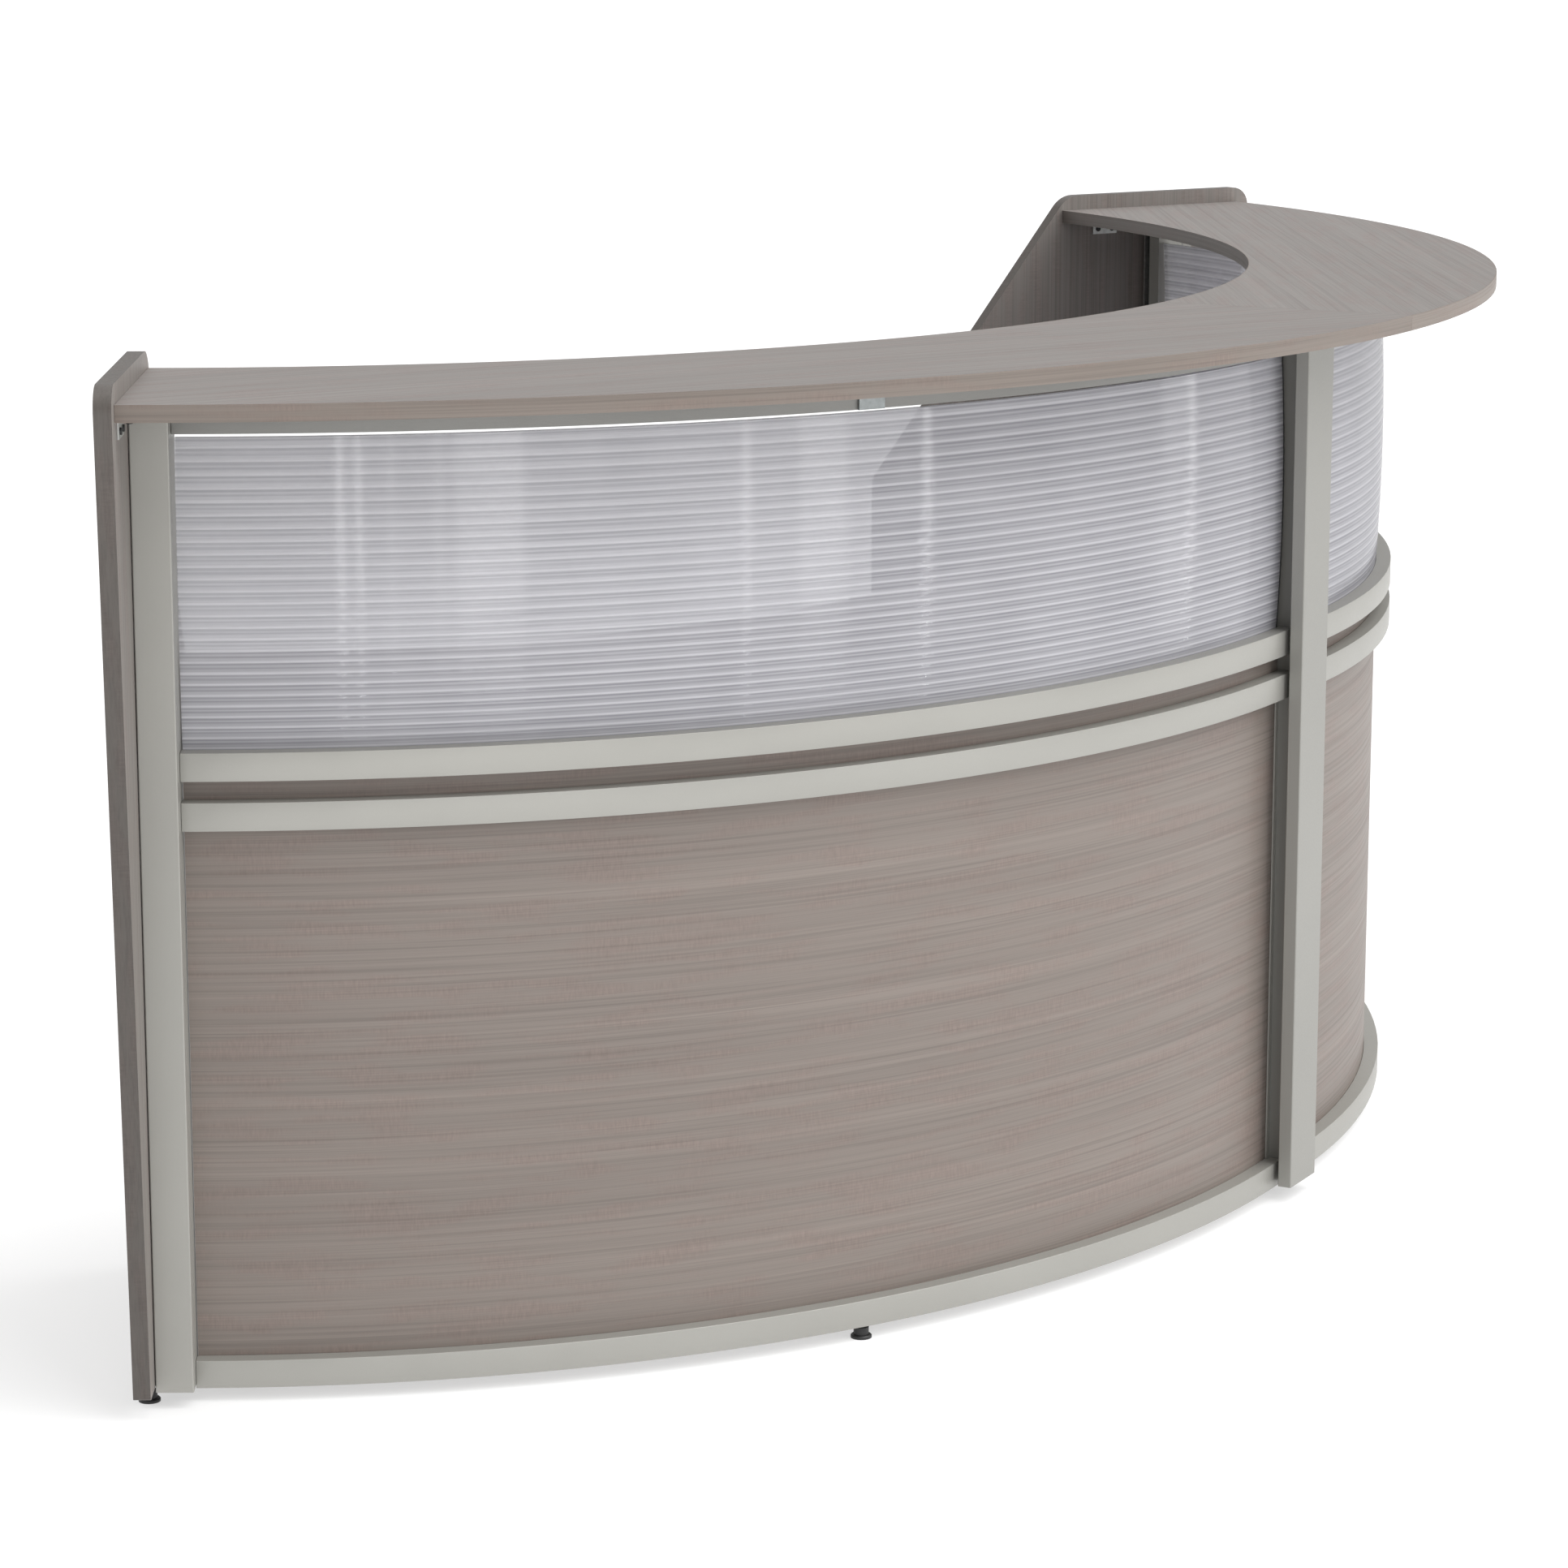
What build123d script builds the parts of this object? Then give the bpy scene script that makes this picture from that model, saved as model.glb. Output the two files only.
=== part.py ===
from build123d import *
import math
import os

# Curved two-unit reception and checkout counter. Each unit is a 60 degree bay between upright posts:
# four bent rails carry a laminate panel below and a fluted polycarbonate panel above, and a narrow
# customer counter runs over them. End panels close the two ends and carry a lower worksurface.
#
# Frame: Z up, floor at Z = 0, customer side towards -Y, mirror plane at X = 0, and the origin on the
# floor below the centre of the overall box. All plan sizes are radii about the common plan centre,
# and a "station" is an upright plane through that centre, with X across it and radius along -Y.

os.makedirs("parts", exist_ok=True)

# Layout
unit_angle = 60.0
overall_height = 1168.4
gap = 0.3

# Customer counter
counter_outer_radius = 1711.0
counter_inner_radius = 1375.0
counter_top_height = 1146.5
counter_thickness = 19.0
edge_band_thickness = 1.0

# End panels
end_panel_offset = 18.6
end_panel_thickness = 19.5
end_panel_bottom = 25.4
end_panel_front_bottom = 1636.0
end_panel_front_top = 1737.0
end_panel_back = 1037.0
end_panel_back_top = 1384.0
end_panel_knee_height = 747.0
end_panel_front_round = 28.0
end_panel_back_round = 45.0
end_panel_knee_round = 20.0
end_panel_foot_round = 4.0

# Posts
post_front_radius = 1593.0
post_depth = 18.0
post_bottom = 20.0
post_wall = 2.5
post_arris = 1.5
middle_post_width = 82.0
end_post_width = 42.6
end_post_inside = 25.0
channel_back_radius = 1530.0
middle_channel_width = 26.0
end_channel_width = 25.0
joint_plate_thickness = 2.5
joint_plate_offset = 8.0

# Rails, bent about a centre that sits in front of the plan centre on each unit's bisector
bay_centre_offset = 87.0
rail_outer_radius = 1493.0
rail_depth = 20.0
rail_height = 32.0
top_rail_size = 30.3
rail_wall = 2.0
bottom_rail_height = 16.4
lower_mid_rail_height = 657.7
upper_mid_rail_height = 713.5
rail_middle_clearance = middle_channel_width / 2 + gap
rail_end_clearance = end_post_inside + gap

# Panels
panel_thickness = 10.0
lower_panel_bottom = 22.0
lower_panel_top = 711.0
upper_panel_bottom = 716.0
upper_panel_top = 1091.3
upper_panel_bulge = 5.5
upper_panel_side_gap = 5.0
panel_outer_radius = rail_outer_radius - rail_depth - gap
trim_width = 8.0
trim_thickness = 2.0

# Worksurface
worksurface_top = 762.0
worksurface_thickness = 25.0
worksurface_inner_radius = 1034.0
worksurface_outer_radius = 1448.0

# Brackets, plates and screws
bracket_thickness = 2.0
counter_bracket_length = 45.0
counter_bracket_leg = 20.0
counter_bracket_radii = (1455.0, 1668.0)
counter_bracket_hole_pitch = 26.0
clip_width = 34.0
clip_thickness = 3.0
support_angle_length = 420.0
support_angle_leg = 38.0
support_angle_middle = 1270.0
arm_tip_radius = 1130.0
arm_height = 130.0
arm_flange_width = 120.0
arm_wall_plate_width = 24.0
arm_plate_thickness = 4.0
arm_web_thickness = 6.0
arm_web_setback = 20.0
joining_plate_width = 120.0
joining_plate_length = 135.0
joining_plate_thickness = 3.0
joining_plate_radius = 1388.0
joint_screw_spacing = 80.0
joining_plate_screw_pitch = 90.0
arm_screw_radii = (1180.0, 1300.0, 1420.0)
screw_head_radius = 4.0
screw_head_height = 2.2
screw_radius = 2.0
screw_length = 12.0
screw_line = 0.6

# Levelling glides
glide_pad_radius = 12.5
glide_pad_height = 4.0
glide_boss_radius = 9.0
glide_boss_height = 9.0
glide_stem_radius = 4.0
glide_stem_top = 62.0
glide_running_gap = 0.1
panel_glide_radii = (1561.0, 1100.0)
rail_glide_radius = 1567.0
insert_radius = 6.5
insert_height = 45.0
rail_insert_length = 30.0
rail_insert_side_gap = 0.4
rail_insert_gap = 0.1
thread_chamfer = 0.8
pad_chamfer = 1.2
stem_seat = 1.0

# Values worked out from the driving dimensions
counter_underside = counter_top_height - counter_thickness
post_top = counter_underside - gap
top_rail_height = counter_underside - gap - top_rail_size
panel_centre_offset = end_panel_offset + end_panel_thickness / 2
end_angle = math.radians(unit_angle)
half_angle = math.radians(unit_angle / 2)
rear_of_panel = (
    -end_panel_back * math.cos(end_angle)
    + (end_panel_offset + end_panel_thickness) * math.sin(end_angle)
)
plan_shift = (counter_outer_radius - rear_of_panel) / 2
bay_centre = (
    bay_centre_offset * math.sin(half_angle),
    -bay_centre_offset * math.cos(half_angle),
)
far_reach = 3000.0

written = []


def save(name, shape):
    """Write one node's solids to its own STEP file."""
    shape.label = name
    export_step(shape, f"parts/{name}.step")
    written.append(name)


def block(x_low, x_high, radius_low, radius_high, z_low, z_high):
    """Box in a station's frame, given by its radii and heights."""
    return Pos(
        (x_low + x_high) / 2, -(radius_low + radius_high) / 2, (z_low + z_high) / 2
    ) * Box(x_high - x_low, radius_high - radius_low, z_high - z_low)


def rod(x, radius_position, z_low, z_high, rod_radius):
    """Upright cylinder in a station's frame."""
    height = z_high - z_low
    return Pos(x, -radius_position, (z_low + z_high) / 2) * Cylinder(rod_radius, height)


def standing_plane(x):
    """Plane whose X is radius and whose Y is height; an extrusion grows towards lower x."""
    return Plane(origin=(x, 0, 0), x_dir=(0, -1, 0), z_dir=(-1, 0, 0))


def at_middle(shape):
    """Move a shape from the middle station's frame to the part's frame."""
    return Pos(0, plan_shift, 0) * shape


def at_right_end(shape):
    """Move a shape from the right end station's frame to the part's frame."""
    return Pos(0, plan_shift, 0) * Rot(0, 0, unit_angle) * shape


def at_bay_middle(shape):
    """Move a shape from the right bay's bisector station to the part's frame."""
    return Pos(0, plan_shift, 0) * Rot(0, 0, unit_angle / 2) * shape


def save_pair(name, right_shape):
    """Save the right-hand piece and its mirror image on the left."""
    save(f"right_{name}", right_shape)
    save(f"left_{name}", mirror(right_shape, about=Plane.YZ))


def bay_outline(middle_clearance, end_clearance):
    """Plan region of the right bay between the middle and the right end stations."""
    across = (math.cos(end_angle), math.sin(end_angle))
    along = (math.sin(end_angle), -math.cos(end_angle))
    corner_y = (-end_clearance - across[0] * middle_clearance) / across[1]
    corner = (middle_clearance, corner_y)
    far_end = (corner[0] + along[0] * far_reach, corner[1] + along[1] * far_reach)
    return make_face(
        Polyline(
            corner,
            (middle_clearance, -far_reach),
            (far_end[0], -far_reach),
            far_end,
            close=True,
        )
    )


def bent_bar(centre, inner, outer, z_low, z_high, middle_clearance, end_clearance):
    """Bar of rectangular section bent about a plan centre, cut to the right bay."""
    ring = Pos(centre[0], centre[1]) * (Circle(outer) - Circle(inner))
    outline = ring & bay_outline(middle_clearance, end_clearance)
    return Pos(0, plan_shift, z_low) * extrude(outline, amount=z_high - z_low)


def bent_rail(z_low, height):
    """Rectangular tube, open at both ends, bent to the bay's curve."""
    inner = rail_outer_radius - rail_depth
    tube = bent_bar(
        bay_centre,
        inner,
        rail_outer_radius,
        z_low,
        z_low + height,
        rail_middle_clearance,
        rail_end_clearance,
    )
    hollow = bent_bar(
        bay_centre,
        inner + rail_wall,
        rail_outer_radius - rail_wall,
        z_low + rail_wall,
        z_low + height - rail_wall,
        0,
        0,
    )
    return tube - hollow


def lower_panel():
    """Bent laminate panel behind the three lower rails."""
    return bent_bar(
        bay_centre,
        panel_outer_radius - panel_thickness,
        panel_outer_radius,
        lower_panel_bottom,
        lower_panel_top,
        rail_middle_clearance + 1,
        rail_end_clearance + 1,
    )


def upper_panel_profile(radius):
    """Upright line and shallow outward bow of one face of the polycarbonate sheet."""
    bow_bottom = upper_mid_rail_height + rail_height
    bow_middle = (bow_bottom + upper_panel_top) / 2
    straight = Line((radius, upper_panel_bottom), (radius, bow_bottom))
    bow = ThreePointArc(
        (radius, bow_bottom),
        (radius + upper_panel_bulge, bow_middle),
        (radius, upper_panel_top),
    )
    return straight, bow


def upper_panel():
    """Bent polycarbonate panel that bows slightly outwards between its rails."""
    inner_radius = panel_outer_radius - panel_thickness
    outer_line, outer_bow = upper_panel_profile(panel_outer_radius)
    inner_line, inner_bow = upper_panel_profile(inner_radius)
    foot = Line((inner_radius, upper_panel_bottom), (panel_outer_radius, upper_panel_bottom))
    head = Line((inner_radius, upper_panel_top), (panel_outer_radius, upper_panel_top))
    section = make_face([foot, outer_line, outer_bow, head, inner_bow, inner_line])
    ring = revolve(Plane.XZ * section, Axis.Z)
    cutter = extrude(
        bay_outline(rail_middle_clearance + upper_panel_side_gap, rail_end_clearance + 1),
        amount=overall_height,
    )
    return Pos(0, plan_shift, 0) * ((Pos(bay_centre[0], bay_centre[1], 0) * ring) & cutter)


def counter_top():
    """Narrow customer counter over one bay, from the middle joint to the end panel."""
    return bent_bar(
        (0, 0),
        counter_inner_radius + edge_band_thickness,
        counter_outer_radius - edge_band_thickness,
        counter_underside,
        counter_top_height,
        gap / 2,
        gap - end_panel_offset,
    )


def counter_edge_bands():
    """Thin bands glued to the counter's outer and inner edges."""
    bands = []
    for inner in (counter_inner_radius, counter_outer_radius - edge_band_thickness):
        bands.append(
            bent_bar(
                (0, 0),
                inner,
                inner + edge_band_thickness,
                counter_underside,
                counter_top_height,
                gap / 2,
                gap - end_panel_offset,
            )
        )
    return Compound(children=bands)


def worksurface():
    """Desk-height top inside the bay, curved at both long edges."""
    low = worksurface_top - worksurface_thickness
    hole = Circle(worksurface_inner_radius + edge_band_thickness)
    disc = Pos(bay_centre[0], bay_centre[1]) * Circle(worksurface_outer_radius)
    outline = (disc - hole) & bay_outline(gap / 2, gap - end_panel_offset)
    return Pos(0, plan_shift, low) * extrude(outline, amount=worksurface_thickness)


def worksurface_edge_band():
    """Thin band on the worksurface's user edge."""
    return bent_bar(
        (0, 0),
        worksurface_inner_radius,
        worksurface_inner_radius + edge_band_thickness,
        worksurface_top - worksurface_thickness,
        worksurface_top,
        gap / 2,
        gap - end_panel_offset,
    )


def end_panel():
    """Upright board with a sloping front edge and a stepped, sloping back edge."""
    corners = [
        (end_panel_front_bottom, end_panel_bottom),
        (end_panel_front_top, overall_height),
        (end_panel_back_top, overall_height),
        (end_panel_back, end_panel_knee_height),
        (end_panel_back, end_panel_bottom),
    ]
    rounds = [
        end_panel_foot_round,
        end_panel_front_round,
        end_panel_back_round,
        end_panel_knee_round,
        end_panel_foot_round,
    ]
    outline = make_face(FilletPolyline(*corners, radius=rounds, close=True))
    board = extrude(outline, amount=end_panel_thickness)
    panel = standing_plane(end_panel_offset + end_panel_thickness) * board
    for radius in panel_glide_radii:
        panel -= rod(
            panel_centre_offset,
            radius,
            end_panel_bottom - 1,
            end_panel_bottom + insert_height,
            insert_radius,
        )
    return at_right_end(panel)


def post_box(x_low, x_high):
    """Hollow front box of a post, with softened arrises."""
    width = x_high - x_low
    outer = RectangleRounded(width, post_depth, post_arris)
    inner = Rectangle(width - 2 * post_wall, post_depth - 2 * post_wall)
    tube = extrude(outer - inner, amount=post_top - post_bottom)
    return Pos((x_low + x_high) / 2, -(post_front_radius - post_depth / 2), post_bottom) * tube


def post_channel(x_low, x_high):
    """Hollow rear box of a post, which the rails run up to."""
    front_radius = post_front_radius - post_depth - gap
    solid = block(
        x_low, x_high, channel_back_radius, front_radius, post_bottom, post_top
    )
    hollow = block(
        x_low + post_wall,
        x_high - post_wall,
        channel_back_radius + post_wall,
        front_radius - post_wall,
        post_bottom - 1,
        post_top + 1,
    )
    return solid - hollow


def joint_plate():
    """Plate between the end post and the end panel, in the shadow gap."""
    plate = block(
        joint_plate_offset,
        joint_plate_offset + joint_plate_thickness,
        channel_back_radius - 3,
        post_front_radius - post_depth - gap,
        end_panel_bottom,
        post_top - 10,
    )
    return at_right_end(plate)


def lower_panel_trims():
    """Thin flat trims over the lower panels' edges at the middle post, between the rails."""
    panel_front = bay_centre_offset * math.cos(half_angle) + panel_outer_radius
    trim = block(
        rail_middle_clearance,
        rail_middle_clearance + trim_width,
        panel_front + gap,
        panel_front + gap + trim_thickness,
        bottom_rail_height + rail_height + gap,
        lower_mid_rail_height - gap,
    )
    right_trim = at_middle(trim)
    return Compound(children=[right_trim, mirror(right_trim, about=Plane.YZ)])


def counter_brackets():
    """Small angle brackets that hang the counter on the end panel's inner face."""
    brackets = []
    top = counter_underside - gap
    inner_face = end_panel_offset - gap
    for middle in counter_bracket_radii:
        low = middle - counter_bracket_length / 2
        high = middle + counter_bracket_length / 2
        upright = block(
            inner_face - bracket_thickness, inner_face, low, high, top - counter_bracket_leg, top
        )
        shelf = block(
            inner_face - counter_bracket_leg, inner_face, low, high, top - bracket_thickness, top
        )
        bracket = upright + shelf
        for offset in (-counter_bracket_hole_pitch / 2, counter_bracket_hole_pitch / 2):
            side_hole = Pos(
                inner_face, -(middle + offset), top - counter_bracket_leg * screw_line
            ) * (Rot(0, 90, 0) * Cylinder(screw_radius + gap, 10))
            bracket -= side_hole
            bracket -= rod(
                inner_face - counter_bracket_leg * screw_line,
                middle + offset,
                top - 5,
                top + 5,
                screw_radius + gap,
            )
        brackets.append(at_right_end(bracket))
    return Compound(children=brackets)


def pan_screw():
    """Pan-head screw along +Z, head below Z = 0."""
    head = Pos(0, 0, -screw_head_height / 2) * Cylinder(screw_head_radius, screw_head_height)
    head = fillet(head.faces().sort_by(Axis.Z)[0].edges(), screw_head_height * 0.45)
    shank = Pos(0, 0, screw_length / 2) * Cylinder(screw_radius, screw_length)
    return head + shank


def counter_bracket_screws():
    """Screws of the counter brackets, into the end panel and up into the counter."""
    top = counter_underside - gap
    inner_face = end_panel_offset - gap
    screws = []
    for middle in counter_bracket_radii:
        for offset in (-counter_bracket_hole_pitch / 2, counter_bracket_hole_pitch / 2):
            side = Pos(
                inner_face - bracket_thickness, -(middle + offset), top - counter_bracket_leg * screw_line
            ) * Rot(0, 90, 0)
            under = Pos(
                inner_face - counter_bracket_leg * screw_line, -(middle + offset), top - bracket_thickness
            )
            screws.append(at_right_end(side * pan_screw()))
            screws.append(at_right_end(under * pan_screw()))
    return Compound(children=screws)


def top_rail_clip():
    """Plate that ties the top rail to the counter at the middle of the bay."""
    rail_face = bay_centre_offset + rail_outer_radius
    clip = block(
        -clip_width / 2,
        clip_width / 2,
        rail_face + gap,
        rail_face + gap + clip_thickness,
        top_rail_height,
        counter_underside - gap,
    )
    return at_bay_middle(clip)


def worksurface_end_bracket():
    """Steel angle on the end panel that carries the worksurface."""
    inner_face = end_panel_offset - gap
    top = worksurface_top - worksurface_thickness - gap
    low = support_angle_middle - support_angle_length / 2
    high = support_angle_middle + support_angle_length / 2
    upright = block(
        inner_face - bracket_thickness, inner_face, low, high, top - support_angle_leg, top
    )
    shelf = block(
        inner_face - support_angle_leg, inner_face, low, high, top - bracket_thickness, top
    )
    return at_right_end(upright + shelf)


def worksurface_bracket_screws():
    """Screws of the worksurface's end bracket."""
    inner_face = end_panel_offset - gap
    top = worksurface_top - worksurface_thickness - gap
    screws = []
    for step in (-1.5, -0.5, 0.5, 1.5):
        radius = support_angle_middle + step * support_angle_length / 4
        side = Pos(
            inner_face - bracket_thickness, -radius, top - support_angle_leg * screw_line
        ) * Rot(0, 90, 0)
        under = Pos(inner_face - support_angle_leg * screw_line, -radius, top - bracket_thickness)
        screws.append(at_right_end(side * pan_screw()))
        screws.append(at_right_end(under * pan_screw()))
    return Compound(children=screws)


def middle_worksurface_bracket():
    """Cantilever arm on the middle post under the joint of the two worksurfaces."""
    top = worksurface_top - worksurface_thickness - gap
    back = channel_back_radius - gap
    plate = arm_plate_thickness
    flange = block(-arm_flange_width / 2, arm_flange_width / 2, arm_tip_radius, back, top - plate, top)
    wall_plate = block(
        -arm_wall_plate_width / 2, arm_wall_plate_width / 2, back - plate, back, top - arm_height, top
    )
    web_outline = make_face(
        Polyline(
            (arm_tip_radius + arm_web_setback, top - plate),
            (back - plate, top - plate),
            (back - plate, top - arm_height),
            (arm_tip_radius + arm_web_setback, top - arm_height / 4),
            close=True,
        )
    )
    web = standing_plane(arm_web_thickness / 2) * extrude(web_outline, amount=arm_web_thickness)
    return at_middle(flange + wall_plate + web)


def joint_screws():
    """Screws that fix the joining plate and the cantilever arm under the two joints."""
    plate_underside = counter_underside - gap - joining_plate_thickness
    arm_underside = worksurface_top - worksurface_thickness - gap - arm_plate_thickness
    plate_middle = joining_plate_radius + joining_plate_length / 2
    rows = [
        (plate_middle - joining_plate_screw_pitch / 2, plate_underside),
        (plate_middle + joining_plate_screw_pitch / 2, plate_underside),
    ]
    rows += [(radius, arm_underside) for radius in arm_screw_radii]
    screws = []
    for radius, underside in rows:
        for x in (-joint_screw_spacing / 2, joint_screw_spacing / 2):
            screws.append(at_middle(Pos(x, -radius, underside) * pan_screw()))
    return Compound(children=screws)


def counter_joining_plate():
    """Flat plate under the joint of the two counter tops, behind the rails."""
    top = counter_underside - gap
    plate = block(
        -joining_plate_width / 2,
        joining_plate_width / 2,
        joining_plate_radius,
        joining_plate_radius + joining_plate_length,
        top - joining_plate_thickness,
        top,
    )
    return at_middle(plate)


def rail_insert():
    """Threaded block inside the bottom rail over its levelling glide."""
    radius_low = bay_centre_offset + rail_outer_radius - rail_depth + rail_wall + rail_insert_side_gap
    radius_high = bay_centre_offset + rail_outer_radius - rail_wall - rail_insert_side_gap
    low = bottom_rail_height + rail_wall + rail_insert_gap
    high = bottom_rail_height + rail_height - rail_wall - rail_insert_gap
    insert = block(-rail_insert_length / 2, rail_insert_length / 2, radius_low, radius_high, low, high)
    return insert - rod(0, rail_glide_radius, low - 1, high + 1, glide_stem_radius + glide_running_gap)


def bottom_rail():
    """Bottom rail with the hole for its levelling glide's stem."""
    hole = rod(
        0,
        rail_glide_radius,
        bottom_rail_height - 1,
        bottom_rail_height + rail_wall + 1,
        glide_stem_radius + glide_running_gap,
    )
    return bent_rail(bottom_rail_height, rail_height) - at_bay_middle(hole)


def panel_inserts():
    """Threaded sleeves pressed into the end panel's bottom edge."""
    sleeves = []
    for radius in panel_glide_radii:
        low = end_panel_bottom
        high = end_panel_bottom + insert_height
        sleeve = rod(panel_centre_offset, radius, low, high, insert_radius)
        sleeve -= rod(
            panel_centre_offset, radius, low - 1, high - 1, glide_stem_radius + glide_running_gap
        )
        sleeves.append(at_right_end(sleeve))
    return Compound(children=sleeves)


def glide_foot(x, radius):
    """Flat pad and boss of a levelling glide, standing on the floor."""
    pad = rod(x, radius, 0, glide_pad_height, glide_pad_radius)
    pad = chamfer(pad.faces().sort_by(Axis.Z)[-1].edges(), pad_chamfer)
    boss_top = glide_pad_height + glide_boss_height
    boss = rod(x, radius, glide_pad_height, boss_top, glide_boss_radius)
    bore = rod(x, radius, glide_pad_height + stem_seat, boss_top + 1, glide_stem_radius)
    return pad + boss - bore


def glide_stem(x, radius, top):
    """Threaded stem of a levelling glide, moulded into its foot."""
    stem = rod(x, radius, glide_pad_height + stem_seat, top, glide_stem_radius)
    return chamfer(stem.faces().sort_by(Axis.Z)[-1].edges(), thread_chamfer)


def save_glides():
    """Front and rear glides of each end panel, and one below each bottom rail."""
    for name, radius in zip(("front", "rear"), panel_glide_radii):
        foot = at_right_end(glide_foot(panel_centre_offset, radius))
        stem = at_right_end(glide_stem(panel_centre_offset, radius, glide_stem_top))
        save_pair(f"{name}_glide_foot", foot)
        save_pair(f"{name}_glide_stem", stem)
    rail_stem_top = bottom_rail_height + rail_height - rail_wall - 1
    save_pair("rail_glide_foot", at_bay_middle(glide_foot(0, rail_glide_radius)))
    save_pair("rail_glide_stem", at_bay_middle(glide_stem(0, rail_glide_radius, rail_stem_top)))


def save_bay():
    """Pieces that each bay has once, on the left and on the right."""
    save_pair("bottom_rail", bottom_rail())
    save_pair("lower_mid_rail", bent_rail(lower_mid_rail_height, rail_height))
    save_pair("upper_mid_rail", bent_rail(upper_mid_rail_height, rail_height))
    save_pair("top_rail", bent_rail(top_rail_height, top_rail_size))
    save_pair("lower_panel", lower_panel())
    save_pair("upper_panel", upper_panel())
    save_pair("counter_top", counter_top())
    save_pair("counter_edge_bands", counter_edge_bands())
    save_pair("worksurface", worksurface())
    save_pair("worksurface_edge_band", worksurface_edge_band())
    save_pair("top_rail_clip", top_rail_clip())
    save_pair("bottom_rail_insert", at_bay_middle(rail_insert()))


def save_ends():
    """Pieces of each end station."""
    save_pair("end_panel", end_panel())
    post_outside = end_post_width - end_post_inside
    channel_inside = -end_post_inside
    save_pair("end_post", at_right_end(post_box(-end_post_inside, post_outside)))
    channel = post_channel(channel_inside, channel_inside + end_channel_width)
    save_pair("end_post_channel", at_right_end(channel))
    save_pair("end_joint_plate", joint_plate())
    save_pair("counter_brackets", counter_brackets())
    save_pair("counter_bracket_screws", counter_bracket_screws())
    save_pair("worksurface_end_bracket", worksurface_end_bracket())
    save_pair("worksurface_bracket_screws", worksurface_bracket_screws())
    save_pair("panel_inserts", panel_inserts())


def save_middle():
    """Pieces of the middle station."""
    half_post = middle_post_width / 2
    half_channel = middle_channel_width / 2
    save("middle_post", at_middle(post_box(-half_post, half_post)))
    save("middle_post_channel", at_middle(post_channel(-half_channel, half_channel)))
    save("lower_panel_trims", lower_panel_trims())
    save("counter_joining_plate", counter_joining_plate())
    save("middle_worksurface_bracket", middle_worksurface_bracket())
    save("joint_screws", joint_screws())


save_bay()
save_ends()
save_middle()
save_glides()
print(len(written), "nodes")
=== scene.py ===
import math

import bmesh
import bpy
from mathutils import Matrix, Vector


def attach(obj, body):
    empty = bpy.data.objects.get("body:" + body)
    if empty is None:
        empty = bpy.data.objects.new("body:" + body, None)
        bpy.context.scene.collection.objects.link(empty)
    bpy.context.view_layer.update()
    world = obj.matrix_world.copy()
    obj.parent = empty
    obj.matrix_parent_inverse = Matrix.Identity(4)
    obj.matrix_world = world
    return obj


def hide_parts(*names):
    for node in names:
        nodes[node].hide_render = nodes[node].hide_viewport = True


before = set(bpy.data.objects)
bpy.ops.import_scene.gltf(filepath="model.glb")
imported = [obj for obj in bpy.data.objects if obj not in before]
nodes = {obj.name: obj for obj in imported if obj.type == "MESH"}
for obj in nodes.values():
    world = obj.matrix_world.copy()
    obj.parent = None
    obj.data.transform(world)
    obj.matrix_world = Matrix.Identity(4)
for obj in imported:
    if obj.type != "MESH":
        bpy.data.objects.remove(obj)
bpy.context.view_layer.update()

# Plan geometry, in metres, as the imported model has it.
PLAN_SHIFT = 1.09825
BAY_OFFSET = 0.087
PANEL_RADIUS = 1.4727
PANEL_THICKNESS = 0.010
COUNTER_RADIUS = 1.711
HALF_UNIT = math.radians(30)
BAY_CENTRES = {
    "right": (BAY_OFFSET * math.sin(HALF_UNIT), PLAN_SHIFT - BAY_OFFSET * math.cos(HALF_UNIT)),
    "left": (-BAY_OFFSET * math.sin(HALF_UNIT), PLAN_SHIFT - BAY_OFFSET * math.cos(HALF_UNIT)),
}

# Linear colours of the finishes, and darker copies of some of them that are painted shade.
SILVER = (0.368, 0.362, 0.336)
# Headrail: a darker copy of the satin silver, painted shade from the counter's overhang.
SILVER_TOP_RAIL_PAINTED_SHADE = (0.215, 0.212, 0.200)
# Middle post's channel: a darker copy of the silver, painted shade in the recess behind the post's cap.
SILVER_CHANNEL_PAINTED_SHADE = (0.225, 0.221, 0.205)
# Middle post: a darker copy of the silver, painted shade that tones down its lit front.
SILVER_MIDDLE_POST_PAINTED_SHADE = (0.312, 0.307, 0.286)
ZINC_DULL, ZINC_BRIGHT = (0.50, 0.51, 0.50), (0.64, 0.65, 0.63)
# Headrail clip: a dull steel, made darker still as painted shade under the counter's overhang.
CLIP_SHADED_DULL, CLIP_SHADED_BRIGHT = (0.200, 0.213, 0.213), (0.250, 0.266, 0.266)
SCREW_DULL, SCREW_BRIGHT = (0.030, 0.030, 0.030), (0.055, 0.055, 0.055)
PLASTIC_DARK, PLASTIC_LIGHT = (0.012, 0.012, 0.012), (0.026, 0.026, 0.027)
TOP_TONE = (0.222, 0.202, 0.192)
LOWER_PANEL_TONE = (0.214, 0.181, 0.162)
END_PANEL_TONE = (0.235, 0.213, 0.198)
END_EDGE_TONE = (0.100, 0.088, 0.080)
FRONT_EDGE_TONE = (0.208, 0.174, 0.152)
# Darker copy of the edge band for its faces on the clerk's side: painted shade.
INNER_EDGE_PAINTED_SHADE_TONE = (0.098, 0.085, 0.077)
FLECK_TINT, GROUND_TINT = (1.022, 0.976, 0.966, 1.0), (0.995, 1.004, 0.998, 1.0)
SHEET_DARK, SHEET_LIGHT = (0.43, 0.427, 0.466), (0.90, 0.898, 0.935)

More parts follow.
